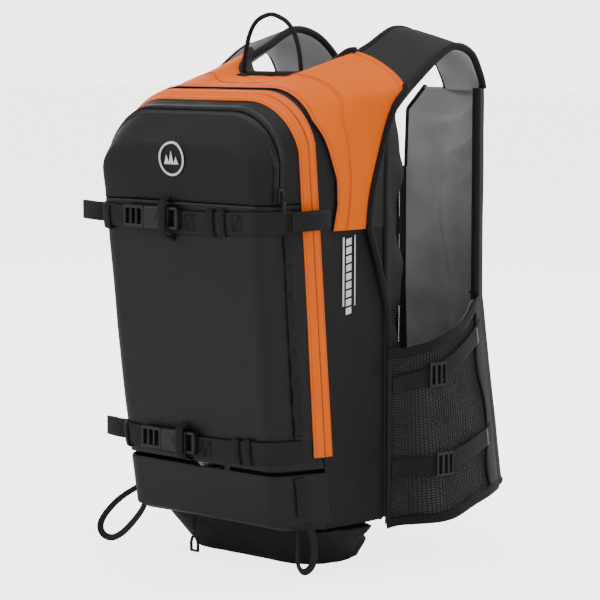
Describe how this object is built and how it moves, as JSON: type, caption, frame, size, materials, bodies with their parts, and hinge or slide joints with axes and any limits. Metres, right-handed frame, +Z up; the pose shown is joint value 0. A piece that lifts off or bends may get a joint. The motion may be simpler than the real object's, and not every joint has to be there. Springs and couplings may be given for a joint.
{
  "type": "avalanche airbag backpack",
  "caption": "Vest-style ski touring airbag pack with a fold-down front panel, zipped upper pocket, gas inflator, mesh sides and buckled straps.",
  "frame": {"origin": "on the flat base, in the middle of the width, 92 mm in front of the plane that rests on the wearer's back", "axes": "+X to the wearer's right, +Y towards the wearer's chest, +Z up; the pack stands on its base"},
  "size_m": [0.425, 0.4257, 0.6364],
  "materials": {
    "black_fabric": "matte coated nylon",
    "liner_fabric": "satin lining",
    "orange_fabric": "matte nylon",
    "orange_tape": "coated zip tape",
    "black_tape": "coated zip tape",
    "black_webbing": "woven webbing",
    "black_mesh": "open mesh",
    "padding": "spacer mesh over foam",
    "black_plastic": "moulded acetal",
    "patch": "printed patch",
    "slider_metal": "black-plated",
    "aluminium": "anodised",
    "handle_red": "moulded grip",
    "cable_sheath": "smooth sheath"
  },
  "bodies": {
    "pack": {"main_gusset": "black_fabric", "yoke": "orange_fabric", "back_panel": "padding", "base_pad": "padding", "frame_sheet": "black_plastic", "frame_stay": "aluminium", "airbag_bundle": "liner_fabric", "inflator_body": "aluminium", "air_intake": "black_plastic", "inflator_hose": "black_plastic", "cylinder_clamp": "black_plastic", "release_cable": "cable_sheath", "orange_zip_outer": "orange_tape", "shoulder_strap_right": "black_fabric", "shoulder_strap_left": "black_fabric", "chest_panel_right": "black_fabric", "chest_panel_left": "black_fabric", "side_mesh_right": "black_mesh", "side_mesh_left": "black_mesh", "vest_zip_tapes": "black_tape", "side_straps_right": "black_webbing", "side_straps_left": "black_webbing", "ladder_locks": "black_plastic", "haul_loop_anchors": "black_webbing", "gear_loop_right": "black_webbing", "gear_loop_left": "black_webbing", "sternum_receiver": "black_plastic", "fixed_webs": "black_webbing", "waist_receiver": "black_plastic", "trigger_pocket": "black_fabric"},
    "front_panel": {"front_shell": "black_fabric", "front_liner": "liner_fabric", "orange_zip_inner": "orange_tape", "pocket_zip_outer": "black_tape", "upper_strap": "black_webbing", "lower_strap": "black_webbing", "front_receivers": "black_plastic", "strap_tails": "black_webbing", "strap_keepers": "black_webbing", "pole_loops": "black_webbing", "daisy_chains": "black_webbing"},
    "pocket_cover": {"pocket_cover": "black_fabric", "emblem_patch": "patch", "pocket_zip_inner": "black_tape"},
    "main_slider_upper": {"main_slider_upper": "slider_metal"},
    "main_slider_lower": {"main_slider_lower": "slider_metal"},
    "pocket_slider_right": {"pocket_slider_right": "slider_metal"},
    "pocket_slider_left": {"pocket_slider_left": "slider_metal"},
    "upper_tongue": {"upper_tongue": "black_plastic"},
    "lower_tongue": {"lower_tongue": "black_plastic"},
    "sternum_tongue": {"sternum_tongue": "black_plastic", "sternum_web": "black_webbing"},
    "waist_tongue": {"waist_tongue": "black_plastic", "waist_web": "black_webbing"},
    "vest_zip_slider": {"vest_zip_slider": "slider_metal"},
    "trigger_handle": {"trigger_handle": "handle_red"},
    "piercing_plunger": {"piercing_plunger": "aluminium"},
    "gas_cylinder": {"gas_cylinder": "aluminium"},
    "haul_loop": {"haul_loop": "black_webbing"},
    "hanging_pull": {"hanging_pull": "black_plastic"}
  },
  "joints": [
    {"name": "front_panel_fold", "type": "hinge", "parent": "pack", "child": "front_panel", "pos_m": [0, -0.08, 0.12], "axis": [1, 0, 0], "range_deg": [0, 75]},
    {"name": "pocket_cover_fold", "type": "hinge", "parent": "front_panel", "child": "pocket_cover", "pos_m": [0, -0.1117, 0.424], "axis": [1, 0, 0], "range_deg": [0, 65]},
    {"name": "main_slider_upper_slide", "type": "slide", "parent": "pack", "child": "main_slider_upper", "axis": [0, -0.0847, 0.9964], "range_m": [0, 0.15]},
    {"name": "main_slider_lower_slide", "type": "slide", "parent": "pack", "child": "main_slider_lower", "axis": [0, -0.0847, 0.9964], "range_m": [-0.11, 0]},
    {"name": "pocket_slider_right_slide", "type": "slide", "parent": "front_panel", "child": "pocket_slider_right", "axis": [0, 0, 1], "range_m": [0, 0.02]},
    {"name": "pocket_slider_left_slide", "type": "slide", "parent": "front_panel", "child": "pocket_slider_left", "axis": [0, 0, 1], "range_m": [0, 0.02]},
    {"name": "upper_tongue_slide", "type": "slide", "parent": "front_panel", "child": "upper_tongue", "axis": [-1, 0, 0], "range_m": [0, 0.022]},
    {"name": "lower_tongue_slide", "type": "slide", "parent": "front_panel", "child": "lower_tongue", "axis": [-1, 0, 0], "range_m": [0, 0.022]},
    {"name": "sternum_tongue_slide", "type": "slide", "parent": "pack", "child": "sternum_tongue", "axis": [1, 0, 0], "range_m": [0, 0.018]},
    {"name": "waist_tongue_slide", "type": "slide", "parent": "pack", "child": "waist_tongue", "axis": [1, 0, 0], "range_m": [0, 0.018]},
    {"name": "vest_zip_slide", "type": "slide", "parent": "pack", "child": "vest_zip_slider", "axis": [0, 0, -1], "range_m": [0, 0.34]},
    {"name": "trigger_pull", "type": "slide", "parent": "pack", "child": "trigger_handle", "axis": [0, 0, -1], "range_m": [0, 0.04]},
    {"name": "plunger_stroke", "type": "slide", "parent": "pack", "child": "piercing_plunger", "axis": [0, -1, 0], "range_m": [0, 0.0061]},
    {"name": "gas_cylinder_spin", "type": "hinge", "parent": "pack", "child": "gas_cylinder", "pos_m": [-0.078, 0.024, 0.3], "axis": [0, 0, 1], "continuous": true},
    {"name": "haul_loop_swing", "type": "hinge", "parent": "pack", "child": "haul_loop", "pos_m": [0, 0.045, 0.5665], "axis": [1, 0, 0], "range_deg": [-60, 40], "stiffness_Nm_per_rad": 0.05},
    {"name": "hanging_pull_swing", "type": "hinge", "parent": "pack", "child": "hanging_pull", "pos_m": [-0.044, -0.044, 0.046], "axis": [1, 0, 0], "range_deg": [-45, 45]}
  ],
  "couplings": [
    {"joint": "plunger_stroke", "follows": "trigger_pull", "ratio": 0.15}
  ]
}
